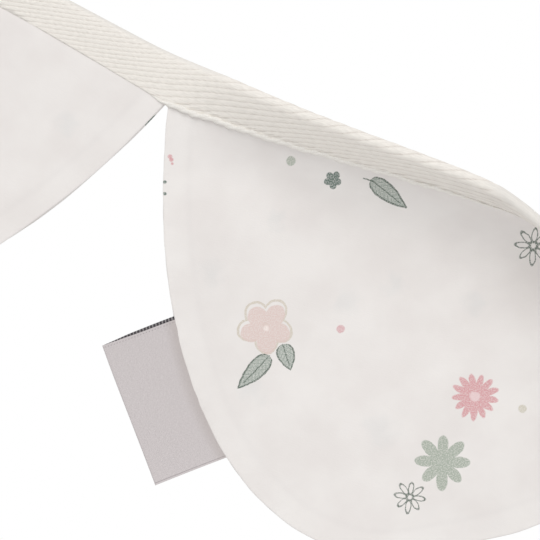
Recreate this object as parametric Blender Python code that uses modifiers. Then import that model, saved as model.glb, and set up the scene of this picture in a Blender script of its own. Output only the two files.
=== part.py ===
"""A cotton bunting: seven petal-shaped flags hung in a swag from a folded twill tape, with a woven label.

The frame is in metres, +Z up, +X along the bunting and -Y towards the viewer. The origin is the top edge
of the tape at its left end. Sizes below are in millimetres and degrees.
"""
import math

import bmesh
import bpy
import numpy as np
from mathutils import Vector

MM = 0.001

# Tape: folded in half over the flags, so its height is half of its cut width
TAPE_HEIGHT = 16.5
TAPE_THICK = 1.0
TAPE_TAIL = 110.0  # free length past each end flag
TAIL_STEPS = 5  # sections of each tail; along the flags they follow the flags' columns
TAPE_BEND = 24.0  # the slope changes this far to each side of where two flags meet
TAIL_OPEN = 22.0  # the fold stays open this far beyond the end flags
TAIL_CLOSING = 18.0  # length over which it then closes

# Flags: half of an outline is one Bezier curve from the top corner to the tip
FLAG_HALF_WIDTH = 112.0
FLAG_DROP = 130.4  # below the tape
FLAG_THICK = 1.0
CORNER_ANGLE = 75.3  # of the side to the tape, at the top corner
SIDE_HANDLE = 70.8
TIP_HANDLE = 54.5
SIDE_SHARE = 0.55  # of the half outline is side, and the rest is the rounded bottom
FLAG_IN_TAPE = 12.0  # height of the cloth that is hidden in the fold
CORNER_INSET = 1.5  # the hidden cloth steps in at its ends, so that neighbours don't cross

# Between pieces
GAP = 0.3
SLOT_GAP = 0.85  # the fold's walls twist, so they stand a little clearer of the flags

# Label: a strip folded in half, its two ends caught in a flag's seam
LABEL_LENGTH = 53.4  # in the flag's flat frame, which hangs a little askew; about 51 mm in space
LABEL_DEPTH = 24.6
LABEL_RISE = 0.5  # its fold stands this much higher than its seam
LABEL_PLY = 0.6
LABEL_FLAG = 1
LABEL_START = 0.365  # place of its upper corner along the half outline
LABEL_END = 0.655
LABEL_CURL = 2.5  # the folded edge stands this far forward

# Where the top of the bunting rolls forward: place along the tape and lean from upright
ROLL_BEND = 22.0  # the cloth below the tape comes upright over this length
LEAN = (
    # place_mm, lean_deg
    (0, 0),
    (110, 6),
    (230, -4),
    (310, 0),
    (334, 4),
    (348, 17),
    (357, 28),
    (366, 36),
    (384, 46),
    (402, 52),
    (425, 58),
    (442, 64),
    (451, 70),
    (459, 81),
    (468, 96),
    (482, 101),
    (505, 86),
    (540, 56),
    (600, 20),
    (660, 2),
    (760, -7),
    (870, 3),
    (1000, 10),
    (1130, -4),
    (1300, 8),
    (1440, -6),
    (1580, 5),
    (1792, 0),
)

# The fold is a little off the tape's middle: how far the front edge has slipped up, and the back edge down
SLIP = (
    # place_mm, slip_mm
    (0, 0),
    (110, 1.2),
    (200, 2.6),
    (300, 2.3),
    (322, 1.2),
    (336, 0.2),
    (350, 0.7),
    (371, 0.6),
    (393, 1.4),
    (421, 2.8),
    (520, 2.6),
    (640, 0.4),
    (900, -0.6),
    (1250, 0.8),
    (1792, 0),
)

# One row a flag, from the left. The body hangs square to hang_deg, a ripple runs down it, and the tip
# swings forward (-) or back (+)
FLAGS = (
    # slope_deg, hang_deg, ripple_mm, ripple_turn_deg, swing_mm
    (28.2, 28.2, 2.2, 40, 1.5),
    (17.6, 20.8, 1.6, 200, -1.0),
    (9.2, 8.4, 2.6, 110, 2.5),
    (0.4, -0.6, 2.0, 330, -2.0),
    (-8.8, -8.0, 2.8, 70, 1.0),
    (-18.6, -17.6, 1.8, 250, 2.0),
    (-27.6, -28.4, 2.4, 150, -1.5),
)
LEFT_TAIL_SLOPE = 33.0
RIGHT_TAIL_SLOPE = -32.0
RIPPLE_LENGTH = 135.0
RIPPLE_GROWTH = 0.8  # the powers by which ripple and swing grow downward
SWING_GROWTH = 1.5
PITCH = 2 * FLAG_HALF_WIDTH + 2 * GAP
TAPE_LENGTH = 2 * TAPE_TAIL + len(FLAGS) * PITCH

# Mesh density: columns and rows of each flag's grid, finer where the top rolls
FLAG_GRIDS = ((18, 9), (84, 12), (22, 10), (14, 9), (14, 9), (14, 9), (14, 9))
LABEL_SECTIONS = 8
FOLD_STEPS = (-1, -0.5, -0.25, 0, 0.25, 0.5, 1)  # a folded strip's points, the quarter turns at 0.5
SHARP_ANGLE = 50.0
UPRIGHT = 1e-4  # radians; the roll's radius isn't worked out for a lean below this

COTTON = ("flag_cotton", (0.83, 0.80, 0.77), 0.9)
TWILL = ("tape_twill", (0.78, 0.74, 0.70), 0.9)
SATIN = ("label_satin", (0.60, 0.56, 0.56), 0.55)


def eased(place, table):
    """Reads a table of (place, value) rows with a soft start and end in each interval."""
    places = [row[0] for row in table]
    values = [row[1] for row in table]
    index = int(np.clip(np.searchsorted(places, place) - 1, 0, len(places) - 2))
    part = np.clip((place - places[index]) / (places[index + 1] - places[index]), 0, 1)
    return values[index] + (values[index + 1] - values[index]) * part * part * (3 - 2 * part)


def smooth(place, table):
    """Reads a table of (place, value) rows on one smooth curve through them all."""
    places = np.array([row[0] for row in table], float)
    values = np.array([row[1] for row in table], float)
    tangents = np.gradient(values, places)
    index = int(np.clip(np.searchsorted(places, place) - 1, 0, len(places) - 2))
    span = places[index + 1] - places[index]
    part = np.clip((place - places[index]) / span, 0, 1)
    rest = 1 - part
    return (
        values[index] * (1 + 2 * part) * rest**2
        + tangents[index] * span * part * rest**2
        + values[index + 1] * (3 - 2 * part) * part**2
        - tangents[index + 1] * span * part**2 * rest
    )


def slope_table():
    """(place, slope) rows: even along each flag and bending where two flags meet."""
    slopes = [LEFT_TAIL_SLOPE, *(flag[0] for flag in FLAGS), RIGHT_TAIL_SLOPE]
    rows = [(0.0, slopes[0])]
    for index in range(len(FLAGS) + 1):
        meeting = TAPE_TAIL + index * PITCH
        rows += [(meeting - TAPE_BEND, slopes[index]), (meeting + TAPE_BEND, slopes[index + 1])]
    return [*rows, (TAPE_LENGTH, slopes[-1])]


def hanging_line():
    """The tape's lower edge: places along it, and X and Z there, from the slope at each millimetre."""
    table = slope_table()
    places = np.arange(0.0, TAPE_LENGTH + 1.0)
    slopes = np.radians([eased(place + 0.5, table) for place in places[:-1]])
    start_x = -TAPE_HEIGHT * math.sin(math.radians(LEFT_TAIL_SLOPE))
    start_z = -TAPE_HEIGHT * math.cos(math.radians(LEFT_TAIL_SLOPE))
    along = start_x + np.concatenate([[0.0], np.cumsum(np.cos(slopes))])
    up = start_z - np.concatenate([[0.0], np.cumsum(np.sin(slopes))])
    return table, places, along, up


SLOPES, PLACES, LINE_X, LINE_Z = hanging_line()


def line_point(place):
    return np.array([np.interp(place, PLACES, LINE_X), np.interp(place, PLACES, LINE_Z)])


def downward(slope_deg):
    """The unit vector (x, z) that points down, square to a line of this slope."""
    slope = math.radians(slope_deg)
    return np.array([-math.sin(slope), -math.cos(slope)])


def lean_at(place):
    return math.radians(smooth(place, LEAN))


def stand_off(lean):
    """How far the rolled top stands in front of the cloth below it."""
    return ROLL_BEND * (1 - math.cos(lean)) / lean if abs(lean) > UPRIGHT else 0.0


def roll(lean, depth):
    """(down, back) of cloth that is depth below the tape's lower edge, or above it where depth is negative.

    It leans with the tape there, and comes upright on an arc of length ROLL_BEND.
    """
    if depth <= 0:
        return depth * math.cos(lean), depth * math.sin(lean) - stand_off(lean)
    if depth >= ROLL_BEND:
        shortened = ROLL_BEND * (math.sin(lean) / lean if abs(lean) > UPRIGHT else 1.0)
        return shortened + depth - ROLL_BEND, 0.0
    if abs(lean) <= UPRIGHT:
        return depth, 0.0
    still = lean * (1 - depth / ROLL_BEND)
    radius = ROLL_BEND / lean
    down = radius * (math.sin(lean) - math.sin(still))
    return down, radius * (math.cos(still) - math.cos(lean)) - stand_off(lean)


def half_outline(share):
    """(across from the corner, down) on the Bezier curve from a top corner, at 0, to the tip, at 1."""
    angle = math.radians(CORNER_ANGLE)
    knots = np.array([
        (0.0, 0.0),
        (SIDE_HANDLE * math.cos(angle), SIDE_HANDLE * math.sin(angle)),
        (FLAG_HALF_WIDTH - TIP_HANDLE, FLAG_DROP),
        (FLAG_HALF_WIDTH, FLAG_DROP),
    ])
    rest = 1 - share
    weights = np.array([rest**3, 3 * rest**2 * share, 3 * rest * share**2, share**3])
    return weights @ knots


def outline(side, share):
    """A point of the outline in the flag's flat frame; side is -1 on the left and 1 on the right."""
    across, down = half_outline(share)
    return np.array([side * (FLAG_HALF_WIDTH - across), down])


def flat_flag(column, row):
    """The flat cloth at column, from -1 to 1, and row, from 0 at the tape to 1 at the bottom.

    The four sides of a square are laid on the top, the two sides and the rounded bottom.
    """
    right = (1 + column) / 2
    left = 1 - right
    side = 1 if column > 0 else -1
    bottom_share = SIDE_SHARE + (1 - abs(column)) * (1 - SIDE_SHARE)
    top = np.array([column * FLAG_HALF_WIDTH, 0.0])
    rails = (1 - row) * top + row * outline(side, bottom_share)
    sides = left * outline(-1, row * SIDE_SHARE) + right * outline(1, row * SIDE_SHARE)
    top_corners = left * outline(-1, 0) + right * outline(1, 0)
    bottom_corners = left * outline(-1, SIDE_SHARE) + right * outline(1, SIDE_SHARE)
    return rails + sides - (1 - row) * top_corners - row * bottom_corners


def ripple(flag, across, depth):
    """How far back the hanging cloth lies, growing from the tape to the bottom."""
    _, _, height, turn, swing = FLAGS[flag]
    grown = np.clip(depth / FLAG_DROP, 0, 1)
    wave = math.sin(2 * math.pi * across / RIPPLE_LENGTH + math.radians(turn) + depth / FLAG_DROP)
    return height * wave * grown**RIPPLE_GROWTH + swing * grown**SWING_GROWTH


def draped(flag, across, depth):
    """The place in space of a point of a flag's flat cloth."""
    middle = TAPE_TAIL + (flag + 0.5) * PITCH
    down, back = roll(lean_at(middle + across), depth)
    x, z = line_point(middle + across) + down * downward(FLAGS[flag][1])
    return Vector((x, back + ripple(flag, across, depth), z)) * MM


def folded(width, radius, height):
    """(up, back) on a strip folded in half over a round top, at width from its middle.

    The front side's widths are negative.
    """
    quarter = math.pi / 2 * radius
    centre = height - radius
    if abs(width) <= quarter:
        return centre + radius * math.cos(width / radius), radius * math.sin(width / radius)
    return centre - (abs(width) - quarter), math.copysign(radius, width)


def fold_width(step, radius, height, slip=0.0):
    """The width on a folded strip for one of FOLD_STEPS; slip is how much shorter its front side is."""
    quarter = math.pi / 2 * radius
    if abs(step) <= 0.5:
        return 2 * step * quarter
    side = height - radius + math.copysign(slip, step)
    return math.copysign(quarter + 2 * (abs(step) - 0.5) * side, step)


def fold_radius(place):
    """The fold of the tape holds the flags, and is closed in the tails."""
    open_radius = FLAG_THICK / 2 + SLOT_GAP + TAPE_THICK / 2
    closed_radius = GAP / 2 + TAPE_THICK / 2
    past = max(TAPE_TAIL - place, place - (TAPE_LENGTH - TAPE_TAIL)) - TAIL_OPEN
    return open_radius + (closed_radius - open_radius) * float(np.clip(past / TAIL_CLOSING, 0, 1))


def tape_point(place, step):
    """A point of the middle of the tape's thickness."""
    lean = lean_at(place)
    radius = fold_radius(place)
    height = TAPE_HEIGHT - TAPE_THICK / 2
    up, back = folded(fold_width(step, radius, height, smooth(place, SLIP)), radius, height)
    raised = up * math.cos(lean) + back * math.sin(lean)
    x, z = line_point(place) - raised * downward(eased(place, SLOPES))
    y = back * math.cos(lean) - up * math.sin(lean) - stand_off(lean)
    return Vector((x, y, z)) * MM


def tape_places():
    """Places of the tape's sections: even in the tails, and at each column of the flags."""
    left_tail = np.linspace(0.0, TAPE_TAIL, TAIL_STEPS + 1)
    places = list(left_tail)
    for index in range(len(FLAGS)):
        columns, _ = FLAG_GRIDS[index]
        start = TAPE_TAIL + index * PITCH
        places += list(start + np.linspace(0.0, PITCH, columns + 1)[1:])
    return places + list(TAPE_LENGTH - left_tail[-2::-1])


def label_point(place, step):
    """A point of the label, at place from 0 at its upper edge to 1. Its fold faces away from the flag."""
    share = LABEL_START + (LABEL_END - LABEL_START) * place
    root = outline(-1, share)
    upper, lower = outline(-1, LABEL_START), outline(-1, LABEL_END)
    chord = (lower - upper) / np.linalg.norm(lower - upper)
    outward = np.array([-chord[1], chord[0]])
    middle = (upper + lower) / 2
    edge = middle + ((place - 0.5) * LABEL_LENGTH - LABEL_RISE) * chord + LABEL_DEPTH * outward
    reach = np.linalg.norm(edge - root) - GAP
    radius = (GAP + LABEL_PLY) / 2
    out, back = folded(fold_width(step, radius, reach - LABEL_PLY / 2), radius, reach - LABEL_PLY / 2)
    across, depth = root + (GAP + out) / (reach + GAP) * (edge - root)
    point = draped(LABEL_FLAG, across, depth)
    rim = draped(LABEL_FLAG, *root)
    curl = LABEL_CURL * (out / LABEL_DEPTH) ** 2
    return Vector((point.x, rim.y + (back - curl) * MM, point.z))


def material(name, colour, roughness):
    made = bpy.data.materials.new(name)
    made.use_nodes = True
    shader = made.node_tree.nodes["Principled BSDF"]
    shader.inputs["Base Color"].default_value = (*colour, 1.0)
    shader.inputs["Roughness"].default_value = roughness
    shader.inputs["Metallic"].default_value = 0.0
    return made


def sheet(name, columns, rows, place, thickness, finish, home):
    """A grid laid out by place(column, row), both from 0 to 1, and thickened to a closed sheet."""
    grid = bmesh.new()
    bmesh.ops.create_grid(grid, x_segments=columns, y_segments=rows, size=1.0)
    for vert in grid.verts:
        vert.co = place((1 + vert.co.x) / 2, (1 - vert.co.y) / 2)
    bmesh.ops.recalc_face_normals(grid, faces=grid.faces)
    mesh = bpy.data.meshes.new(name)
    grid.to_mesh(mesh)
    grid.free()
    mesh.shade_smooth()
    mesh.set_sharp_from_angle(angle=math.radians(SHARP_ANGLE))
    mesh.materials.append(finish)
    thing = bpy.data.objects.new(name, mesh)
    home.objects.link(thing)
    solidify = thing.modifiers.new("thickness", "SOLIDIFY")
    solidify.thickness = thickness * MM
    solidify.offset = 0.0
    solidify.use_even_offset = True
    solidify.use_rim = True
    return thing


def build_flag(index, finish, home):
    columns, rows = FLAG_GRIDS[index]

    def place(column, row):
        across = 2 * column - 1
        line = row * rows
        if line < 0.5:
            reach = FLAG_HALF_WIDTH - CORNER_INSET
            return draped(index, float(np.clip(across * FLAG_HALF_WIDTH, -reach, reach)), -FLAG_IN_TAPE)
        return draped(index, *flat_flag(across, (line - 1) / (rows - 1)))

    return sheet(f"flag_{index + 1}", columns, rows, place, FLAG_THICK, finish, home)


def build_tape(finish, home):
    places = tape_places()
    sections = len(places) - 1
    steps = len(FOLD_STEPS) - 1

    def place(column, row):
        return tape_point(places[round(column * sections)], FOLD_STEPS[round(row * steps)])

    return sheet("tape", sections, steps, place, TAPE_THICK, finish, home)


def build_label(finish, home):
    steps = len(FOLD_STEPS) - 1

    def place(column, row):
        return label_point(column, FOLD_STEPS[round(row * steps)])

    return sheet("label", LABEL_SECTIONS, steps, place, LABEL_PLY, finish, home)


def build():
    for thing in list(bpy.data.objects):
        bpy.data.objects.remove(thing, do_unlink=True)
    home = bpy.data.collections.new("bunting")
    bpy.context.scene.collection.children.link(home)
    cotton = material(*COTTON)
    build_tape(material(*TWILL), home)
    for index in range(len(FLAGS)):
        build_flag(index, cotton, home)
    build_label(material(*SATIN), home)


build()
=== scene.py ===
"""Looks of the cotton bunting: printed flags, a folded twill tape, a woven label, light and camera.

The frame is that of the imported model: metres, +Z up, +X along the bunting and -Y towards the viewer. Sizes
below are in millimetres and degrees. The driving values and the drape repeat those of the model's source,
except for the tape's slot, which is tighter here because these finer sheets need less room.
"""
import math

import bmesh
import bpy
import numpy as np
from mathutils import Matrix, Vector


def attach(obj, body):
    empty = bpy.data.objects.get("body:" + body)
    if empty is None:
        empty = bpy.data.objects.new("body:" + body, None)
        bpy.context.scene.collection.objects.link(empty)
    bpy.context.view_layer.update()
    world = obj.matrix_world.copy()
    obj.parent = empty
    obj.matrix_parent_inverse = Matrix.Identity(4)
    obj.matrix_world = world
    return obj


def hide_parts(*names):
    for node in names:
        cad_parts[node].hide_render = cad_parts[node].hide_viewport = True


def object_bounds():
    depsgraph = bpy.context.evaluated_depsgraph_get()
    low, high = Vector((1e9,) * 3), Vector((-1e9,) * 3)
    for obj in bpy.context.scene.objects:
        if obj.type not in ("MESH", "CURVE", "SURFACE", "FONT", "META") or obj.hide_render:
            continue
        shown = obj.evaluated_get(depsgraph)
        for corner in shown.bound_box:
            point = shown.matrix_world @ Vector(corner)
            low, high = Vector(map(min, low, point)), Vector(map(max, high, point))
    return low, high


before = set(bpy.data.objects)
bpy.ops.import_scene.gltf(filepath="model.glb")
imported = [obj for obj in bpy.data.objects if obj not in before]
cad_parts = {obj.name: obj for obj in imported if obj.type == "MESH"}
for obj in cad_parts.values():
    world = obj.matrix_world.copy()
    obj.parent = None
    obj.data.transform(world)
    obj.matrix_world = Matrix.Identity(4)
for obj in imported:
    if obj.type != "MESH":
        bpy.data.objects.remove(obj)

CAD_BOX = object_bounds()
MM = 0.001
SHARP_ANGLE = 50.0

# Tape
TAPE_HEIGHT = 16.5
TAPE_THICK = 1.0
TAPE_TAIL = 110.0
TAPE_BEND = 24.0
TAIL_OPEN = 22.0
TAIL_CLOSING = 18.0

# Flags: half of an outline is one Bezier curve from the top corner to the tip
FLAG_HALF_WIDTH = 112.0
FLAG_DROP = 130.4
FLAG_THICK = 1.0
CORNER_ANGLE = 75.3
SIDE_HANDLE = 70.8
TIP_HANDLE = 54.5
SIDE_SHARE = 0.55
FLAG_IN_TAPE = 12.0
CORNER_INSET = 1.5

# Between pieces
GAP = 0.3
SLOT_GAP = 0.5  # between the cloth in the tape's fold and each of its walls
OPEN_RADIUS = FLAG_THICK / 2 + SLOT_GAP + TAPE_THICK / 2
TAPE_MIDDLE = TAPE_HEIGHT - TAPE_THICK / 2

# Label
LABEL_LENGTH = 53.4
LABEL_DEPTH = 24.6
LABEL_RISE = 0.5
LABEL_PLY = 0.6
LABEL_BED = 0.05  # how far its inner face lies inside the ply
LABEL_FLAG = 1
LABEL_START = 0.365
LABEL_END = 0.655
LABEL_CURL = 2.5
LABEL_COLUMNS = 48
LABEL_WALLS = tuple(np.linspace(0, 0.94, 12))
LABEL_SHIFT = 1.15  # the back half stands this far above the front one, and shows the dark reverse
SHIFTED = (0.4, 0.7)  # the shares of the strip between which that begins
LABEL_TUCK = 1.0  # its cut ends run this far under the flag's rolled edge, and are pressed flat there
LABEL_FLAT = 0.35  # how flat, as a share of the fold's depth
LABEL_PRESSED = (-0.5, 3.0)  # away from the seam, over this range
LABEL_WAVE = (0.25, 1.2, 0.6)  # height, waves in its length and phase of its lower edge's wave

# Where the top of the bunting rolls forward
ROLL_BEND = 22.0
LEAN = (
    # place_mm, lean_deg
    (0, 0),
    (110, 6),
    (230, -4),
    (310, 0),
    (334, 4),
    (348, 17),
    (357, 28),
    (366, 36),
    (384, 46),
    (402, 52),
    (425, 58),
    (442, 64),
    (451, 70),
    (459, 81),
    (468, 96),
    (482, 101),
    (505, 86),
    (540, 56),
    (600, 20),
    (660, 2),
    (760, -7),
    (870, 3),
    (1000, 10),
    (1130, -4),
    (1300, 8),
    (1440, -6),
    (1580, 5),
    (1792, 0),
)
SLIP = (
    # place_mm, slip_mm
    (0, 0),
    (110, 1.2),
    (200, 2.6),
    (300, 2.3),
    (322, 1.2),
    (336, 0.2),
    (350, 0.7),
    (371, 0.6),
    (393, 1.4),
    (421, 2.8),
    (520, 2.6),
    (640, 0.4),
    (900, -0.6),
    (1250, 0.8),
    (1792, 0),
)
FLAGS = (
    # slope_deg, hang_deg, ripple_mm, ripple_turn_deg, swing_mm
    (28.2, 28.2, 2.2, 40, 1.5),
    (17.6, 20.8, 1.6, 200, -1.0),
    (9.2, 8.4, 2.6, 110, 2.5),
    (0.4, -0.6, 2.0, 330, -2.0),
    (-8.8, -8.0, 2.8, 70, 1.0),
    (-18.6, -17.6, 1.8, 250, 2.0),
    (-27.6, -28.4, 2.4, 150, -1.5),
)
LEFT_TAIL_SLOPE = 33.0
RIGHT_TAIL_SLOPE = -32.0
RIPPLE_LENGTH = 135.0
RIPPLE_GROWTH = 0.8
SWING_GROWTH = 1.5
PITCH = 2 * FLAG_HALF_WIDTH + 2 * GAP
TAPE_LENGTH = 2 * TAPE_TAIL + len(FLAGS) * PITCH
UPRIGHT = 1e-4

# Flags as sewn: two layers turned out, with the seam rolled to one side or the other
FLAG_COLUMNS, FLAG_ROWS = 170, 90
EDGE_DENSITY = 0.5  # how far the grid is drawn towards its edges
RIM = 1.0  # the grid stops this far inside the outline, and the rolled edge takes the rest
HALF_CLOTH = 0.42
ALLOWANCE = 8.4  # width of the seam allowance inside the edge
ALLOWANCE_RISE = 0.06
RIM_STEPS = (
    # out_mm, back as a share of the half thickness, share of the front roll, share of the back roll
    (0.44, -1.00, 0.3, 0.0),
    (0.76, -0.74, 0.8, 0.0),
    (0.84, -0.44, 1.0, 0.0),
    (0.66, -0.16, 0.6, 0.0),
    (0.34, 0.00, 0.0, 0.0),
    (0.66, 0.16, 0.0, 0.6),
    (0.84, 0.44, 0.0, 1.0),
    (0.76, 0.74, 0.0, 0.8),
    (0.44, 1.00, 0.0, 0.3),
)
SEAM_STEP = 4  # the step of the rim that is the seam itself
SEAM_ROLL = 0.2
ALLOWANCE_STEP = 1.6  # half of the width over which the allowance's ridge ends
BELOW_TAPE = (-1, 4)  # depths over which the ridge begins
FREE = (2, 26)  # depths over which the tape's hold on the cloth ends
OUTLINE_POINTS = 160
PUCKER_PITCH, PUCKER_HEIGHT, PUCKER_REACH = 7.3, 0.06, 5.0

# Sums of soft waves: seed, lengths, height
SOFT_WAVES = (10, (44.0, 62.0, 83.0, 120.0), 0.3)
SMALL_WAVES = (30, (17.0, 23.0, 29.0), 0.07)
PUCKER_WAVES = (50, (40.0, 63.0), 2.0)
SEAM_WAVES = (70, (31.0, 57.0, 93.0, 19.0), 0.9)
RIB_WAVES = (5, (7.0, 11.0, 17.0), 0.22)
TAPE_WAVES = (6, (37.0, 61.0, 97.0), 0.12)
TWIST_WAVES = (8, (29.0, 47.0), 0.5)
SWAY_WAVES = (9, (6.0, 9.0, 14.0), 0.34)

# Which flags are printed on the front. The others show plain cotton there, and every back is printed
PRINTED_FRONTS = (1, 3, 5)

# Twill: ribs that cross the tape, and a corded edge
RIBS = (
    # place_mm, angle_deg to the tape's length and pitch_mm, both as seen from the front
    (0, 24, 1.7),
    (320, 25, 1.7),
    (350, 17, 1.7),
    (385, 15.5, 1.6),
    (410, 11.5, 1.35),
    (440, 8, 1.1),
    (465, 5, 0.9),
    (505, 5, 0.9),
    (600, 19, 1.7),
    (1792, 20, 1.75),
)
LEAST_FACING = 0.25  # where the tape turns further from the front, its ribs are worked out as if it didn't
YARN_PITCH = 1.75
RIB_HEIGHT = 0.17
RIB_LINES = 6  # grid lines a rib
RIB_CROWN = 0.7  # below 1 makes the ribs rounder
RIB_END = 0.97  # the share of the strip where they stop, short of its edge
OUTER_BED, INNER_BED = 0.08, 0.04  # how far the strip's faces lie inside its thickness
BULGE = (0.5, 0.8)  # the shares over which the walls begin to bulge
WALL_ROWS = (0.0, 0.04, 0.1, 0.25, 0.45, 0.65, 0.83, 0.93)
SMOOTH_FOLD = (
    # place_mm, from and to: the shares of the strip over which the ribs begin
    (0, 0.26, 0.44),
    (345, 0.26, 0.44),
    (365, -0.60, -0.30),
    (438, -0.60, -0.30),
    (452, 0.40, 0.52),
    (472, 0.50, 0.60),
    (570, 0.50, 0.60),
    (640, 0.26, 0.44),
    (1792, 0.26, 0.44),
)
PRESS = 0.6  # the lower edges of the tape lie this much closer to the cloth
PRESS_FROM = 0.62
THINNED = (
    # place_mm, thinned_mm
    (0, 0.26),
    (118, 0.26),
    (128, 0.86),
    (324, 0.86),
    (338, 0.26),
    (432, 0.26),
    (455, 0.8),
    (560, 0.8),
    (600, 0.26),
    (1792, 0.26),
)
FOLD_ROWS = 8
INNER_WALL_ROWS = (0.0, 0.25, 0.5, 0.75)
INNER_FOLD_ROWS = 4
SAME_PLACE = 1e-7  # metres
ROPE_STEP = 0.6
ROPE_SIDES = 8
ROPE_FLAT = 0.6  # its depth as a share of its height
STRANDS = (0.84, 0.24)  # middle and swell of its radius where its strands pass
ROPE_TURN = 4.3  # length in which the two strands of the edge go once round
ROPE = (
    # place_mm, radius_mm, out_mm
    (0, 0.7, 0.0),
    (118, 0.6, 0.0),
    (127, 0.05, -0.85),
    (326, 0.05, -0.85),
    (338, 1.2, -0.05),
    (428, 1.2, -0.05),
    (458, 0.3, -0.5),
    (560, 0.3, -0.5),
    (640, 1.0, 0.1),
    (1792, 0.9, 0.1),
)
ROPE_ABOVE = 0.05  # of its middle, above the tape's edge
CORDED = (338, 440)  # places between which dark holes show along the cord

# The print, laid out on a repeat. Places are (right, down) in millimetres from the repeat's corner
REPEAT = (150.0, 165.0)
REPEAT_START = (-15.0, 5.0)
PRINT_TURNS = (
    # for each flag: front (turn_deg, right_mm, down_mm), back (the same)
    ((28.0, -60.0, -44.0), (-31.0, 52.0, 20.0)),
    ((20.8, 0.0, 0.0), (12.0, 40.0, 85.0)),
    ((-14.0, 20.0, 60.0), (35.0, 75.0, 5.0)),
    ((8.0, 95.0, 33.0), (-12.0, 10.0, 120.0)),
    ((40.0, 30.0, 90.0), (3.0, 110.0, 48.0)),
    ((-26.0, 62.0, 110.0), (22.0, 35.0, 64.0)),
    ((15.0, 80.0, 20.0), (-40.0, 88.0, 95.0)),
)


def linear(red, green, blue):
    """A screen colour, 0 to 255, as the linear colour that a shader takes."""
    parts = np.array([red, green, blue]) / 255
    made = np.where(parts <= 0.04045, parts / 12.92, ((parts + 0.055) / 1.055) ** 2.4)
    return (*made.tolist(), 1.0)


def step(low, high, value):
    part = np.clip((value - low) / (high - low), 0, 1)
    return part * part * (3 - 2 * part)


def eased(place, table):
    """Reads a table of (place, value) rows with a soft start and end in each interval."""
    places, values = np.array(table, float).T
    index = np.clip(np.searchsorted(places, place) - 1, 0, len(places) - 2)
    part = np.clip((place - places[index]) / (places[index + 1] - places[index]), 0, 1)
    return values[index] + (values[index + 1] - values[index]) * part * part * (3 - 2 * part)


def smooth(place, table):
    """Reads a table of (place, value) rows on one smooth curve through them all."""
    places, values = np.array(table, float).T
    tangents = np.gradient(values, places)
    index = np.clip(np.searchsorted(places, place) - 1, 0, len(places) - 2)
    span = places[index + 1] - places[index]
    part = np.clip((place - places[index]) / span, 0, 1)
    rest = 1 - part
    return (
        values[index] * (1 + 2 * part) * rest**2
        + tangents[index] * span * part * rest**2
        + values[index + 1] * (3 - 2 * part) * part**2
        - tangents[index + 1] * span * part**2 * rest
    )


def straight(place, table):
    """The other columns of a table whose first one is the place, on straight lines between its rows."""
    places, *columns = np.array(table, float).T
    return [np.interp(place, places, column) for column in columns]


def waves(across, along, kind, number=0):
    """A sum of soft waves that run in several directions. Each number has a sum of its own."""
    seed, lengths, height = kind
    chance = np.random.default_rng(seed + number)
    total = 0.0
    for length in lengths:
        turn, phase = chance.uniform(0, 2 * math.pi, 2)
        onwards = across * math.cos(turn) + along * math.sin(turn)
        total = total + np.sin(2 * math.pi * onwards / length + phase)
    return total * height / math.sqrt(len(lengths))


def slope_table():
    """(place, slope) rows: even along each flag and bending where two flags meet."""
    slopes = [LEFT_TAIL_SLOPE, *(flag[0] for flag in FLAGS), RIGHT_TAIL_SLOPE]
    rows = [(0.0, slopes[0])]
    for index in range(len(FLAGS) + 1):
        meeting = TAPE_TAIL + index * PITCH
        rows += [(meeting - TAPE_BEND, slopes[index]), (meeting + TAPE_BEND, slopes[index + 1])]
    return [*rows, (TAPE_LENGTH, slopes[-1])]


def hanging_line():
    """The tape's lower edge: places along it, and X and Z there."""
    table = slope_table()
    places = np.arange(0.0, TAPE_LENGTH + 1.0)
    slopes = np.radians(eased(places[:-1] + 0.5, table))
    start_x = -TAPE_HEIGHT * math.sin(math.radians(LEFT_TAIL_SLOPE))
    start_z = -TAPE_HEIGHT * math.cos(math.radians(LEFT_TAIL_SLOPE))
    along = start_x + np.concatenate([[0.0], np.cumsum(np.cos(slopes))])
    up = start_z - np.concatenate([[0.0], np.cumsum(np.sin(slopes))])
    return table, places, along, up


SLOPES, PLACES, LINE_X, LINE_Z = hanging_line()


def line_point(place):
    return np.interp(place, PLACES, LINE_X), np.interp(place, PLACES, LINE_Z)


def downward(slope_deg):
    """(x, z) of the unit vector that points down, square to a line of this slope."""
    slope = np.radians(slope_deg)
    return -np.sin(slope), -np.cos(slope)


def lean_at(place):
    """The lean from upright, never quite nothing, so that its roll has a radius."""
    lean = np.radians(smooth(place, LEAN))
    return np.where(np.abs(lean) > UPRIGHT, lean, UPRIGHT)


def roll(lean, depth, off):
    """(down, back) of a point off behind the middle of cloth, depth below the tape's lower edge."""
    radius = ROLL_BEND / lean
    still = lean * (1 - np.clip(depth, 0, ROLL_BEND) / ROLL_BEND)
    above = np.minimum(depth, 0)
    below = np.maximum(depth - ROLL_BEND, 0)
    down = radius * (np.sin(lean) - np.sin(still)) + above * np.cos(lean) + below
    back = radius * (np.cos(still) - 1) + above * np.sin(lean)
    return down - off * np.sin(still), back + off * np.cos(still)


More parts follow.
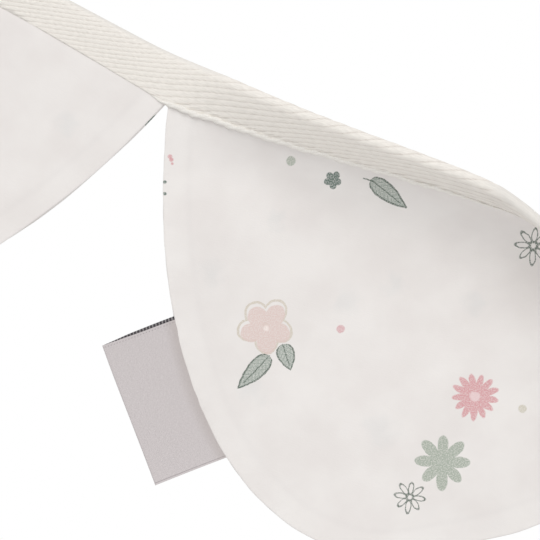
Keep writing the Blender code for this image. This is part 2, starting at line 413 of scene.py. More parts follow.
def half_outline(share, out=0.0):
    """(across from the corner, down) from a top corner, at 0, to the tip, at 1, moved out by out."""
    angle = math.radians(CORNER_ANGLE)
    knots = np.array([
        (0.0, 0.0),
        (SIDE_HANDLE * math.cos(angle), SIDE_HANDLE * math.sin(angle)),
        (FLAG_HALF_WIDTH - TIP_HANDLE, FLAG_DROP),
        (FLAG_HALF_WIDTH, FLAG_DROP),
    ])
    share = np.asarray(share, float)
    rest = 1 - share
    weights = np.stack([rest**3, 3 * rest**2 * share, 3 * rest * share**2, share**3], -1)
    pull = np.stack([rest**2, 2 * rest * share, share**2], -1) @ np.diff(knots, axis=0)
    pull = pull / np.linalg.norm(pull, axis=-1, keepdims=True)
    return weights @ knots + out * np.stack([-pull[..., 1], pull[..., 0]], -1)


def outline(side, share, out=0.0):
    """(across, depth) of the outline in the flag's flat frame; side is -1 on the left, 1 on the right."""
    point = half_outline(share, out)
    return np.stack([side * (FLAG_HALF_WIDTH - point[..., 0]), point[..., 1]], -1)


def flat_flag(column, row, out):
    """The flat cloth at column, -1 to 1, and row, 0 at the tape to 1, within an outline moved by out."""
    column, row = np.broadcast_arrays(column, row)
    right = ((1 + column) / 2)[..., None]
    left = 1 - right
    side = np.where(column > 0, 1, -1)
    down = row[..., None]
    corner = outline(1, 0.0, out)
    top = np.stack([column * corner[0], np.full(column.shape, corner[1])], -1)
    bottom = outline(side, SIDE_SHARE + (1 - np.abs(column)) * (1 - SIDE_SHARE), out)
    sides = left * outline(-1, row * SIDE_SHARE, out) + right * outline(1, row * SIDE_SHARE, out)
    top_corners = left * outline(-1, 0.0, out) + right * outline(1, 0.0, out)
    bottom_corners = left * outline(-1, SIDE_SHARE, out) + right * outline(1, SIDE_SHARE, out)
    return (1 - down) * (top - top_corners) + down * (bottom - bottom_corners) + sides


def ripple(flag, across, depth):
    """How far back the hanging cloth lies, growing from the tape to the bottom."""
    _, _, height, turn, swing = FLAGS[flag]
    grown = np.clip(depth / FLAG_DROP, 0, 1)
    wave = np.sin(2 * math.pi * across / RIPPLE_LENGTH + math.radians(turn) + depth / FLAG_DROP)
    return height * wave * grown**RIPPLE_GROWTH + swing * grown**SWING_GROWTH


def draped(flag, across, depth, off=0.0):
    """The place in space of points off behind the middle of a flag's flat cloth."""
    place = TAPE_TAIL + (flag + 0.5) * PITCH + across
    down, back = roll(lean_at(place), depth, off)
    x, z = line_point(place)
    down_x, down_z = downward(FLAGS[flag][1])
    return np.stack([x + down * down_x, back + ripple(flag, across, depth), z + down * down_z], -1)


def folded(width, radius, height, out=0.0):
    """(up, back) on a strip folded in half over a round top, out from its middle surface."""
    angle = np.clip(width / radius, -math.pi / 2, math.pi / 2)
    below = np.maximum(np.abs(width) - math.pi / 2 * radius, 0)
    return height - radius + (radius + out) * np.cos(angle) - below, (radius + out) * np.sin(angle)


def fold_width(share, radius, height, slip=0.0):
    """The width on a folded strip for share, -1 to 1, of which the middle half is the round top."""
    quarter = math.pi / 2 * radius
    side = height - radius + np.sign(share) * slip
    past = np.maximum(np.abs(share) - 0.5, 0)
    return np.sign(share) * (2 * np.minimum(np.abs(share), 0.5) * quarter + 2 * past * side)


def fold_radius(place):
    """The fold of the tape holds the flags, and is closed in the tails."""
    closed_radius = GAP / 2 + TAPE_THICK / 2
    past = np.maximum(TAPE_TAIL - place, place - (TAPE_LENGTH - TAPE_TAIL)) - TAIL_OPEN
    return OPEN_RADIUS + (closed_radius - OPEN_RADIUS) * np.clip(past / TAIL_CLOSING, 0, 1)


def tape_point(place, width, out):
    """The place in space of points on the tape, width from its fold's middle and out from its own."""
    lean = lean_at(place)
    up, back = folded(width, fold_radius(place), TAPE_MIDDLE, out)
    raised = up * np.cos(lean) + back * np.sin(lean)
    x, z = line_point(place)
    down_x, down_z = downward(eased(place, SLOPES))
    y = back * np.cos(lean) - up * np.sin(lean) - ROLL_BEND * (1 - np.cos(lean)) / lean
    return np.stack([x - raised * down_x, y, z - raised * down_z], -1)


def tape_width(place, share):
    return fold_width(share, fold_radius(place), TAPE_MIDDLE, smooth(place, SLIP))


def add_object(name, data):
    thing = bpy.data.objects.new(name, data)
    bpy.context.scene.collection.objects.link(thing)
    return thing


def add_mesh(name, points, faces, materials, indices=None, sharp=False):
    """A smooth mesh object from points in millimetres; sharp keeps its square edges."""
    mesh = bpy.data.meshes.new(name)
    mesh.from_pydata((points * MM).tolist(), [], faces)
    for finish in materials:
        mesh.materials.append(finish)
    if indices is not None:
        mesh.polygons.foreach_set("material_index", np.ascontiguousarray(indices, np.int32))
    mesh.shade_smooth()
    if sharp:
        mesh.set_sharp_from_angle(angle=math.radians(SHARP_ANGLE))
    return add_object(name, mesh)


def joined(*grids):
    return np.concatenate([grid.ravel() for grid in grids])


def store(mesh, name, *columns, domain="POINT"):
    """Keeps one column of numbers, or two or three as vectors, for the materials to read."""
    vector = len(columns) > 1
    values = np.zeros((columns[0].size, 3 if vector else 1), np.float32)
    for index, column in enumerate(columns):
        values[:, index] = column.ravel()
    kept = mesh.attributes.new(name, "FLOAT_VECTOR" if vector else "FLOAT", domain)
    kept.data.foreach_set("vector" if vector else "value", values.ravel())


def numbered(points, first=0):
    """The numbers of a grid of points, from first on."""
    return first + np.arange(points.size // 3).reshape(points.shape[:2])


def grid_faces(index, flip=False):
    """Quads between neighbours of a two-way grid of point numbers."""
    quads = np.stack([index[:-1, :-1], index[1:, :-1], index[1:, 1:], index[:-1, 1:]], -1)
    quads = quads.reshape(-1, 4)
    return (quads[:, ::-1] if flip else quads).tolist()


def denser(steps):
    """Draws even steps, -1 to 1, towards their ends."""
    return (1 - EDGE_DENSITY) * steps + EDGE_DENSITY * np.sin(steps * math.pi / 2)


def flag_pattern():
    """A flag's flat cloth, its border, and each point's distance to the sewn edge and place along it."""
    columns = denser(np.linspace(-1, 1, FLAG_COLUMNS + 1))
    rows = denser(np.linspace(0, 1, FLAG_ROWS + 1))
    cloth = flat_flag(columns[None, :], rows[:, None], -RIM)
    reach = FLAG_HALF_WIDTH - CORNER_INSET - RIM
    across = np.clip(columns * FLAG_HALF_WIDTH, -reach, reach)
    hidden = np.stack([across, np.full(columns.shape, -FLAG_IN_TAPE)], -1)
    cloth = np.concatenate([hidden[None], cloth])
    last = FLAG_ROWS + 1
    down = [(row, 0) for row in range(last + 1)]
    along = [(last, column) for column in range(1, FLAG_COLUMNS)]
    border = np.array(down + along + [(row, FLAG_COLUMNS) for row in range(last, -1, -1)])
    beyond = flat_flag(columns[None, :], rows[:, None], 0.0)
    beyond = np.concatenate([hidden[None] + np.sign(columns)[None, :, None] * (RIM, 0.0), beyond])
    out = (beyond - cloth)[border[:, 0], border[:, 1]]
    out = out / np.linalg.norm(out, axis=-1, keepdims=True)
    shares = np.linspace(0, 1, OUTLINE_POINTS)
    edge = np.concatenate([outline(-1, shares), outline(1, shares[::-1])])
    length = np.concatenate([[0.0], np.cumsum(np.linalg.norm(np.diff(edge, axis=0), axis=1))])
    flat = cloth.reshape(-1, 2)
    apart = np.linalg.norm(flat[:, None, :] - edge[None, :, :], axis=2)
    nearest = apart.argmin(axis=1)
    return cloth, border, out, apart.min(axis=1), length[nearest]


PATTERN = flag_pattern()


def seam_roll(flag, along):
    """How far the seam has rolled to the back (+) or to the front (-), as a share of SEAM_ROLL."""
    return np.clip(waves(along, 0 * along, SEAM_WAVES, flag), -1, 1)


def unevenness(flag, across, depth, inside, along):
    """The soft waves of the hanging cloth and the puckers beside its seam."""
    large = waves(across, depth, SOFT_WAVES, flag) + waves(across, depth, SMALL_WAVES, flag)
    pucker = np.sin(2 * math.pi * along / PUCKER_PITCH + waves(along, 0 * along, PUCKER_WAVES, flag))
    return step(*FREE, depth) * (large + PUCKER_HEIGHT * pucker * np.exp(-inside / PUCKER_REACH))


def print_place(flag, back, points):
    """Where the hung cloth lies on the print, seen face on. The back's is read from behind."""
    turn, right, down = PRINT_TURNS[flag][1 if back else 0]
    corner_x, corner_z = line_point(TAPE_TAIL + flag * PITCH)
    down_x, down_z = downward(FLAGS[flag][1])
    sideways, upwards = points[:, 0] - corner_x, points[:, 2] - corner_z
    depth = sideways * down_x + upwards * down_z
    from_left = upwards * down_x - sideways * down_z
    if back:
        from_left = 2 * FLAG_HALF_WIDTH - from_left
    turn = math.radians(turn)
    return (
        right + from_left * math.cos(turn) - depth * math.sin(turn),
        down + from_left * math.sin(turn) + depth * math.cos(turn),
    )


def build_flag(flag, plain, printed):
    cloth, border, out, inside, along = PATTERN
    rows, columns = cloth.shape[:2]
    flat = cloth.reshape(-1, 2)
    number = np.arange(rows * columns).reshape(rows, columns)
    raised = 1 - step(ALLOWANCE - ALLOWANCE_STEP, ALLOWANCE + ALLOWANCE_STEP, inside)
    half = HALF_CLOTH + ALLOWANCE_RISE * raised * step(*BELOW_TAPE, flat[:, 1])
    wander = unevenness(flag, flat[:, 0], flat[:, 1], inside, along)
    edge_rows, edge_columns = border.T
    rim_from = number[edge_rows, edge_columns]
    rolled = seam_roll(flag, along[rim_from]) * SEAM_ROLL
    flats, offs, edges = [flat, flat], [wander - half, wander + half], [inside, inside]
    for out_mm, share, front_roll, back_roll in RIM_STEPS:
        reach = out_mm + rolled * (back_roll - front_roll)
        flats.append(flat[rim_from] + out * reach[:, None])
        offs.append(wander[rim_from] + share * half[rim_from])
        edges.append(np.zeros(len(rim_from)))
    flats = np.concatenate(flats)
    points = draped(flag, flats[:, 0], flats[:, 1], np.concatenate(offs))

    front, back = number, number + number.size
    rims = 2 * number.size + np.arange(len(RIM_STEPS) * len(border)).reshape(len(RIM_STEPS), -1)
    ends = [side[edge_rows, edge_columns][None] for side in (front, back)]
    around = np.concatenate([ends[0], rims, ends[1]])
    seam = SEAM_STEP + 2
    front_faces = grid_faces(front) + grid_faces(around[:seam])
    back_faces = grid_faces(back, flip=True) + grid_faces(around[seam - 1:])
    back_faces += grid_faces(np.stack([back[0], front[0]]))
    back_faces += [around[::-1, 0].tolist(), around[:, -1].tolist()]
    faces = front_faces + back_faces
    on_back = np.arange(len(faces)) >= len(front_faces)
    show_print = np.where(on_back, True, flag in PRINTED_FRONTS)
    thing = add_mesh(f"cotton_flag_{flag + 1}", points, faces, [plain, printed], show_print)
    mesh = thing.data
    store(mesh, "inside", np.concatenate(edges))
    store(mesh, "cloth", *flats.T)
    corners = np.empty(len(mesh.loops), np.int32)
    mesh.loops.foreach_get("vertex_index", corners)
    turned = np.repeat(on_back, [len(face) for face in faces])
    hung = points[corners]
    seen = np.where(turned, print_place(flag, True, hung), print_place(flag, False, hung))
    store(mesh, "print", *seen, domain="CORNER")
    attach(thing, "root")
    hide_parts(f"flag_{flag + 1}")
    return thing


def folded_strip(outer, inner):
    """Points and faces of a closed strip folded lengthwise, and how many outer faces come first."""
    points = np.concatenate([outer.reshape(-1, 3), inner.reshape(-1, 3)])
    outer = numbered(outer)
    inner = numbered(inner, outer.size)
    faces = grid_faces(outer)
    split = len(faces)
    faces += grid_faces(inner, flip=True)
    faces += grid_faces(np.stack([inner[:, 0], outer[:, 0]], 1))
    faces += grid_faces(np.stack([outer[:, -1], inner[:, -1]], 1))
    faces.append([*outer[0], *inner[0, ::-1]])
    faces.append([*outer[-1, ::-1], *inner[-1]])
    return points, [[int(number) for number in face] for face in faces], split


def fold_shares(walls, turns):
    """Rows of a folded strip, from the edge of its front side to the edge of its back side."""
    wall = -1 + 0.5 * np.array(walls)
    return np.concatenate([wall, np.linspace(-0.5, 0.5, turns + 1), -wall[::-1]])


def rib_angle(place):
    return np.radians(straight(place, RIBS)[0])


def rib_pitch(place):
    return straight(place, RIBS)[1]


def rib_starts():
    """Where the grid's lines cross the middle of the tape, RIB_LINES of them to each rib."""
    lead = 3 * TAPE_HEIGHT
    places = np.arange(-lead, TAPE_LENGTH + lead)
    between = places[:-1] + 0.5
    ribs = np.concatenate([[0.0], np.cumsum(np.sin(rib_angle(between)) / rib_pitch(between))])
    return np.interp(np.arange(0, ribs[-1], 1 / RIB_LINES), ribs, places)


def twill_grid(starts, shares):
    """Places, shares and plain widths on a grid whose lines run along the ribs.

    Where the tape leans, the ribs cross it more steeply, so that they look even from the front.
    """
    widths = fold_width(shares, OPEN_RADIUS, TAPE_MIDDLE)
    middle = len(shares) // 2
    place = np.empty((len(starts), len(shares)))
    place[:, middle] = starts
    for ahead, columns in ((1, range(middle + 1, len(shares))), (-1, range(middle - 1, -1, -1))):
        for column in columns:
            before = place[:, column - ahead]
            facing = np.maximum(np.cos(lean_at(np.clip(before, 0, TAPE_LENGTH))), LEAST_FACING)
            run = (widths[column] - widths[column - ahead]) * facing / np.tan(rib_angle(before))
            place[:, column] = before + run
    shares, widths = (np.broadcast_to(row, place.shape) for row in (shares, widths))
    return np.clip(place, 0, TAPE_LENGTH), shares, widths


def pressed(place, share):
    """How much closer to the cloth the tape's edges lie, and nothing where its walls already touch."""
    slack = (fold_radius(place) - TAPE_THICK / 2 - GAP / 2) / (FLAG_THICK / 2 + SLOT_GAP - GAP / 2)
    return PRESS * slack * step(PRESS_FROM, 1.0, np.abs(share))


def worn_fold(place, share):
    """1 on the smooth top of the fold, and nothing where the ribs show."""
    return 1 - step(*straight(place, SMOOTH_FOLD), np.abs(share))


def build_tape(finish):
    starts = rib_starts()
    place, share, width = twill_grid(starts, fold_shares(WALL_ROWS, FOLD_ROWS))
    ribs = (np.arange(len(starts)) / RIB_LINES)[:, None]
    phase = np.broadcast_to(ribs % 1, place.shape)
    worn = worn_fold(place, share)
    uneven = 1 + waves(place, width * 3, RIB_WAVES)
    crown = np.abs(np.cos(math.pi * phase)) ** RIB_CROWN
    rib = RIB_HEIGHT * uneven * (1 - worn) * (1 - step(RIB_END, 1.0, np.abs(share))) * crown
    bulk = waves(place, width, TAPE_WAVES) * step(*BULGE, np.abs(share))
    thin = straight(place, THINNED)[0] * step(PRESS_FROM, 1.0, np.abs(share))
    out = TAPE_THICK / 2 - OUTER_BED + rib + bulk * np.sign(share) - pressed(place, share) - thin
    outer = tape_point(place, tape_width(place, share), out)
    inner_shares = fold_shares(INNER_WALL_ROWS, INNER_FOLD_ROWS)
    inner_place, inner_share, inner_width = twill_grid(starts, inner_shares)
    inner_out = INNER_BED - TAPE_THICK / 2 - pressed(inner_place, inner_share)
    inner = tape_point(inner_place, tape_width(inner_place, inner_share), inner_out)
    points, faces, _ = folded_strip(outer, inner)
    thing = add_mesh("twill_tape", points, faces, [finish])
    mesh = thing.data
    across = [np.broadcast_to(ribs * YARN_PITCH, grid.shape) for grid in (place, inner_place)]
    along = joined(width, inner_width) / math.sin(rib_angle(TAPE_LENGTH))
    store(mesh, "weave", along, joined(*across))
    store(mesh, "worn", joined(worn, worn_fold(inner_place, inner_share)))
    corded = np.abs(share) * (place > CORDED[0]) * (place < CORDED[1])
    store(mesh, "share", joined(corded, 0 * inner_share))
    clean(mesh)
    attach(thing, "root")
    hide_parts("tape")
    return thing


def clean(mesh):
    """Joins the points brought to one place at the tape's ends, and drops faces without area."""
    work = bmesh.new()
    work.from_mesh(mesh)
    bmesh.ops.remove_doubles(work, verts=work.verts, dist=SAME_PLACE)
    bmesh.ops.dissolve_degenerate(work, edges=work.edges, dist=SAME_PLACE)
    work.to_mesh(mesh)
    work.free()
    mesh.shade_smooth()


def build_rope(side, finish):
    """The tape's corded edge, two strands round each other; side is -1 at the front, 1 at the back."""
    place = np.arange(0.0, TAPE_LENGTH + ROPE_STEP / 2, ROPE_STEP)[:, None]
    angle = np.linspace(0, 2 * math.pi, ROPE_SIDES, endpoint=False)[None, :]
    thick, beyond = straight(place, ROPE)
    twist = 2 * math.pi * place / ROPE_TURN + waves(place, 0 * place, TWIST_WAVES)
    radius = thick * (STRANDS[0] + STRANDS[1] * np.cos(2 * (angle - twist / 2)))
    sway = waves(place, 0 * place, SWAY_WAVES, side)
    down = radius * np.cos(angle) - ROPE_ABOVE + sway
    out = beyond - PRESS / 2 + radius * np.sin(angle) * ROPE_FLAT
    width = tape_width(place, side) + side * down
    points = tape_point(np.broadcast_to(place, down.shape), width, out)
    number = numbered(points)
    loop = np.concatenate([number, number[:, :1]], 1)
    flip = side > 0
    faces = grid_faces(loop, flip=not flip)
    faces += [number[0, ::-1 if flip else 1].tolist(), number[-1, ::1 if flip else -1].tolist()]
    thing = add_mesh("edge_front" if side < 0 else "edge_back", points.reshape(-1, 3), faces, [finish])
    store(thing.data, "strand", *np.broadcast_arrays(place, angle - twist / 2, down))
    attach(thing, "root")
    return thing


def label_point(place, share, out):
    """The place in space of points on the label, place from 0 at its upper edge to 1."""
    upper, lower = outline(-1, LABEL_START), outline(-1, LABEL_END)
    chord = (lower - upper) / np.linalg.norm(lower - upper)
    outward = np.array([-chord[1], chord[0]])
    middle = (upper + lower) / 2
    root = outline(-1, LABEL_START + (LABEL_END - LABEL_START) * place)
    along = (place - 0.5) * LABEL_LENGTH - LABEL_RISE
    edge = middle + along[..., None] * chord + LABEL_DEPTH * outward
    reach = np.linalg.norm(edge - root, axis=-1) - GAP
    radius = (GAP + LABEL_PLY) / 2
    height = reach - LABEL_PLY / 2
    away, back = folded(fold_width(share, radius, height), radius, height, out)
    away = away - LABEL_TUCK * (1 - away / reach)
    back = back * (LABEL_FLAT + (1 - LABEL_FLAT) * step(*LABEL_PRESSED, away))
    flat = root + ((GAP + away) / (reach + GAP))[..., None] * (edge - root)
    point = draped(LABEL_FLAG, flat[..., 0], flat[..., 1])
    rim = draped(LABEL_FLAG, root[..., 0], root[..., 1])
    curl = LABEL_CURL * (away / LABEL_DEPTH) ** 2
    return np.stack([point[..., 0], rim[..., 1] + back - curl, point[..., 2]], -1), away


def label_layer(shares, out):
    place, share = np.broadcast_arrays(np.linspace(0, 1, LABEL_COLUMNS + 1)[:, None], shares[None, :])
    _, away = label_point(place, share, 0.0 * place)
    bow = np.sqrt(1 - np.clip(away / LABEL_DEPTH, 0, 1) ** 2)
    shifted = place - step(*SHIFTED, share) * LABEL_SHIFT * bow / LABEL_LENGTH
    height, count, phase = LABEL_WAVE
    wave = height * np.sin(2 * math.pi * place * count + phase) * (away / LABEL_DEPTH)
    points, away = label_point(shifted, share, out + 0 * place)
    points[..., 1] += wave
    return points, place, away


def build_label(satin, reverse):
    outer, place, away = label_layer(fold_shares(LABEL_WALLS, FOLD_ROWS), LABEL_PLY / 2)
    inner_out = LABEL_BED - LABEL_PLY / 2
    inner, inner_place, inner_away = label_layer(fold_shares(LABEL_WALLS, INNER_FOLD_ROWS), inner_out)
    points, faces, split = folded_strip(outer, inner)
    dark = np.zeros(len(faces), np.int32)
    dark[split:split + (inner.shape[0] - 1) * (inner.shape[1] - 1)] = 1
    thing = add_mesh("woven_label", points, faces, [satin, reverse], dark, sharp=True)
    store(thing.data, "weave", joined(place, inner_place) * LABEL_LENGTH, joined(away, inner_away))
    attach(thing, "root")
    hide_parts("label")
    return thing


class Maker:
    """Adds nodes to a material's tree. A value is a number, a colour or another node's output."""

    def __init__(self, name):
        self.material = bpy.data.materials.new(name)
        self.material.use_nodes = True
        self.tree = self.material.node_tree
        self.shader = self.tree.nodes["Principled BSDF"]

    def put(self, value, socket):
        if isinstance(value, bpy.types.NodeSocket):
            self.tree.links.new(value, socket)
        else:
            socket.default_value = value

    def node(self, kind, values=(), **settings):
        """Adds a node with these settings, and values on its first inputs."""
        node = self.tree.nodes.new(f"ShaderNode{kind}")
        for name, setting in settings.items():
            setattr(node, name, setting)
        for value, socket in zip(values, node.inputs):
            self.put(value, socket)
        return node

    def math(self, operation, *values, clamp=False):
        return self.node("Math", values, operation=operation, use_clamp=clamp).outputs[0]

    def times(self, first, second):
        return self.math("MULTIPLY", first, second)

    def away(self, value, middle):
        """How far a value is from middle, either way."""
        return self.math("ABSOLUTE", self.math("SUBTRACT", value, middle))

    def wave(self, value, length):
        """A sine that goes through one turn in each length."""
        return self.math("SINE", self.times(value, 2 * math.pi / length))

    def vector(self, operation, *values):
        node = self.node("VectorMath", values, operation=operation)
        return node.outputs["Value" if operation in ("LENGTH", "DISTANCE", "DOT_PRODUCT") else "Vector"]

    def attribute(self, name, output="Vector"):
        return self.node("Attribute", attribute_name=name).outputs[output]

    def parts(self, vector):
        return self.node("SeparateXYZ", [vector]).outputs

    def together(self, x, y, z=0.0):
        return self.node("CombineXYZ", (x, y, z)).outputs[0]

    def fade(self, value, low, high, first=0.0, last=1.0):
        values = (value, low, high, first, last)
        return self.node("MapRange", values, interpolation_type="SMOOTHSTEP").outputs[0]

    def mix(self, share, first, second):
        node = self.node("Mix", [share], data_type="RGBA")
        self.put(first, node.inputs[6])
        self.put(second, node.inputs[7])
        return node.outputs[2]

    def tint(self, colour, tone, mask, strength):
        return self.mix(self.times(mask, strength), colour, tone)

    def noise(self, vector, scale, detail=3.0, output=0):
        node = self.node("TexNoise", [vector])
        node.inputs["Scale"].default_value = scale
        node.inputs["Detail"].default_value = detail
        return node.outputs[output]

    def stray(self, spot, scale, detail, reach):
        """Moves each spot a little to one side, by up to half of reach."""
        aside = self.vector("SUBTRACT", self.noise(spot, scale, detail, output=1), (0.5, 0.5, 0.5))
        return self.vector("ADD", spot, self.vector("MULTIPLY", aside, (reach, reach, 0.0)))

    def bump(self, height, distance, strength=1.0):
        node = self.node("Bump")
        node.inputs["Strength"].default_value = strength
        node.inputs["Distance"].default_value = distance * MM
        self.put(height, node.inputs["Height"])
        self.put(node.outputs[0], self.shader.inputs["Normal"])

    def finish(self, colour, roughness, sheen, specular=0.2):
        self.put(colour, self.shader.inputs["Base Color"])
        names = ("Roughness", "Sheen Weight", "Sheen Roughness", "Specular IOR Level")
        for name, value in zip(names, (roughness, sheen, 0.5, specular)):
            self.shader.inputs[name].default_value = value
        return self.material


# Cloths
COTTON_CLOUDS = linear(228, 223, 220), linear(234, 230, 227)
COTTON_DOUBLED = linear(243, 240, 237)
# painted shade along the inner edge of the seam allowance
COTTON_PAINTED_SHADE = linear(205, 202, 202)
WEAVE_PITCH = 0.42
TWILL_CLOUDS = linear(233, 228, 221), linear(245, 240, 233)
# painted shade in the recesses between the twill's ribs
TWILL_VALLEY_PAINTED_SHADE = linear(196, 184, 174)
TWILL_WORN = linear(224, 221, 216)
TWILL_HOLE = linear(160, 150, 140)
TWILL_STITCH = 0.75
TWILL_YARN = (0.9, 0.8)  # lengths of its turns along and across
HOLES_AT = 0.93  # share of the strip
CORD_CLOUDS = linear(231, 227, 221), linear(240, 237, 231)
# painted shade where the cord's two strands meet
CORD_GROOVE_PAINTED_SHADE = linear(204, 197, 188)
LABEL_FACE, LABEL_LINE, LABEL_REVERSE = (201, 194, 194), (140, 132, 134), (70, 66, 70)
LABEL_FLECK = linear(200, 196, 196)
# painted shadow that the flag's rolled edge casts on the label beside the seam
LABEL_PAINTED_SHADOW = linear(168, 158, 152)
LABEL_UNEVEN = 4  # levels of a screen colour
THREAD_PITCH, WEFT_PITCH, FLECK_PITCH, DOT_PITCH = 0.55, 0.4, 1.1, 1.0
LINE_INSET = 0.8  # of the lines along the label's two sides

# Inks, as screen colours
SAGE = linear(174, 181, 168)
SAGE_DARK = linear(159, 169, 155)
FOREST = linear(80, 104, 94)
LEAF = linear(150, 162, 152)
LINE = linear(94, 107, 97)
BLUSH = linear(219, 198, 192)
BLUSH_LINE = linear(208, 199, 185)
ROSE = linear(212, 153, 157)
PALE_ROSE = linear(214, 172, 175)
ROSE_HEART = linear(232, 210, 210)
SAND = linear(205, 199, 184)
GHOST = linear(196, 203, 204)
BLUSH_HEART = linear(246, 236, 232)
INK_EDGE = 0.16
DOT_EDGE = 0.2
LEAF_BASE, LEAF_TIP, LEAF_BELLY = 0.42, 1.3, 2.05  # powers that round its two ends, and its swell
LEAF_LINE, VEIN_SLANT, VEIN_SPACE = 0.3, 1.1, 0.85

DOTS = (
    # (right, down), radius_mm, ink
    ((42.1, 19.5), 1.6, SAGE),
    ((59.0, 76.5), 1.4, PALE_ROSE),
    ((120.7, 103.5), 1.45, SAND),
    ((1.0, 17.8), 0.75, ROSE),
    ((1.5, 18.9), 0.7, ROSE),
    ((1.8, 20.2), 0.45, ROSE),
    ((-0.7, 26.5), 0.6, FOREST),
    ((-0.7, 30.5), 0.6, FOREST),
    ((12.0, 128.0), 1.4, ROSE),
    ((131.0, 84.0), 1.3, SAGE),
    ((48.0, 158.0), 1.3, SAND),
)
FLOWERS = (
    # (right, down), petals, turn_deg, petal's middle, half length and half width, heart radius, ink
    ((56.3, 25.9), 5, 90, 1.75, 1.3, 1.15, 1.5, FOREST),
    ((93.5, 121.5), 8, 2, 5.9, 3.5, 1.9, 4.5, SAGE_DARK),
    ((104.6, 99.3), 13, 11, 5.0, 3.0, 1.15, 4.6, ROSE),
    ((122.0, 24.0), 5, 60, 1.75, 1.3, 1.15, 1.5, FOREST),
    ((8.0, 150.0), 8, 20, 5.2, 3.2, 1.9, 4.5, SAGE_DARK),
)
DRAWN_FLOWERS = (
    # (right, down), petals, turn_deg, petal's middle, half length and half width
    ((124.4, 48.2), 8, 3, 3.7, 2.45, 0.95),
    ((82.4, 133.4), 8, 9, 3.1, 2.05, 0.85),
)
BLUSH_FLOWER = (33.7, 76.2)
BLUSH_PETALS = (5, 90, 5.0, 3.7, 3.3)
BLUSH_OUTLINE = (5, 90, 5.0, 4.4, 3.75)
BLUSH_SHIFT = (-0.2, -0.9)
BLUSH_FILLED = (3.4, 3.0)  # radii between which its filled middle ends
BLUSH_LIT = (1.4, 0.4)  # and its pale heart
ROSE_LIT = (2.0, 1.4)
UNEVEN_WAVES = 3.0  # in a turn round a flower
UNEVEN_PETALS = 0.045  # how much longer and shorter they make its petals
LEAVES = (
    # base, tip, half width
    ((69.2, 26.0), (81.2, 35.3), 2.75),
    ((34.8, 85.7), (24.1, 96.6), 2.95),
    ((39.4, 81.8), (42.0, 90.4), 2.85),
    ((136.0, 140.5), (129.0, 152.0), 2.75),
)
STEMS = (
    # from, to
    ((66.5, 25.3), (70.5, 26.7)),
    ((137.4, 138.2), (135.6, 141.0)),
)
GHOSTS = (
    # (right, down), radius_mm: the other layer's print, showing through
    ((37.0, 39.2), 3.0),
    ((60.8, 67.7), 4.5),
    ((77.7, 61.8), 4.0),
    ((28.5, 98.1), 5.0),
    ((72.4, 110.6), 5.5),
    ((104.4, 68.7), 4.0),
    ((15.2, 57.6), 4.0),
)


def petal_edge(maker, spot, centre, count, turn, middle, half_length, half_width):
    """The distance to the outline of a ring of oval petals, below nothing inside, and to its centre."""
    from_centre = maker.vector("SUBTRACT", spot, (*centre, 0.0))
    x, y, _ = maker.parts(from_centre)
    angle = maker.math("SUBTRACT", maker.math("ARCTAN2", y, x), math.radians(turn))
    uneven = maker.math("SINE", maker.times(angle, UNEVEN_WAVES))
    uneven = maker.math("ADD", maker.times(uneven, UNEVEN_PETALS), 1.0)
    reach = maker.times(maker.vector("LENGTH", from_centre), uneven)
    local = maker.math("WRAP", angle, math.pi / count, -math.pi / count)
    along = maker.math("SUBTRACT", maker.times(reach, maker.math("COSINE", local)), middle)
    across = maker.times(reach, maker.math("SINE", local))
    oval = maker.vector("LENGTH", maker.together(
        maker.math("DIVIDE", along, half_length), maker.math("DIVIDE", across, half_width)
    ))
    return maker.times(maker.math("SUBTRACT", oval, 1.0), half_width), reach


def filled(maker, edge):
    return maker.fade(edge, INK_EDGE, -INK_EDGE)


def drawn(maker, edge, half_line):
    return maker.fade(maker.math("ABSOLUTE", edge), half_line + INK_EDGE / 2, half_line - INK_EDGE / 2)


def beside(maker, spot, start, end):
    """The length of a line, how far along it a spot lies, as a share, and how far to its side."""
    start, end = np.array(start), np.array(end)
    length = float(np.linalg.norm(end - start))
    ahead = (end - start) / length
    from_start = maker.vector("SUBTRACT", spot, (*start, 0.0))
    part = maker.vector("DOT_PRODUCT", from_start, (*(ahead / length), 0.0))
    aside = maker.vector("DOT_PRODUCT", from_start, (-ahead[1], ahead[0], 0.0))
    return length, part, maker.math("ABSOLUTE", aside)


def leaf(maker, spot, base, tip, half_width):
    """Masks of a leaf's inside, and of its outline, midrib and veins."""
    length, part, aside = beside(maker, spot, base, tip)
    within = maker.math("MULTIPLY", part, 1.0, clamp=True)
    beyond = maker.times(maker.away(part, within), length)
    pointed = maker.math("SUBTRACT", 1.0, maker.math("POWER", within, LEAF_TIP))
    belly = maker.times(maker.math("POWER", within, LEAF_BASE), pointed)
    belly = maker.times(belly, LEAF_BELLY * half_width)
    edge = maker.math("SUBTRACT", maker.math("ADD", aside, beyond), belly)
    inside = filled(maker, edge)
    rib = maker.times(maker.fade(aside, 0.26, 0.12), maker.fade(part, 0.0, 0.05))
    rib = maker.times(rib, maker.fade(part, 0.86, 0.8))
    slant = maker.math("SUBTRACT", maker.times(part, length), maker.times(aside, VEIN_SLANT))
    veins = maker.math("ABSOLUTE", maker.math("WRAP", slant, VEIN_SPACE, -VEIN_SPACE))
    veins = maker.times(maker.fade(veins, 0.2, 0.06), maker.times(inside, 0.5))
    lines = maker.math("MAXIMUM", drawn(maker, edge, LEAF_LINE), maker.math("MAXIMUM", rib, veins))
    return inside, lines


def stem(maker, spot, start, end):
    _, part, aside = beside(maker, spot, start, end)
    inside = maker.times(maker.fade(part, -0.05, 0.05), maker.fade(part, 1.05, 0.95))
    return maker.times(maker.fade(aside, 0.32, 0.16), inside)


def in_repeat(maker, place):
    """A place on the print, brought into its first repeat."""
    end = (REPEAT_START[0] + REPEAT[0], REPEAT_START[1] + REPEAT[1], 1.0)
    return maker.vector("WRAP", place, end, (*REPEAT_START, -1.0))


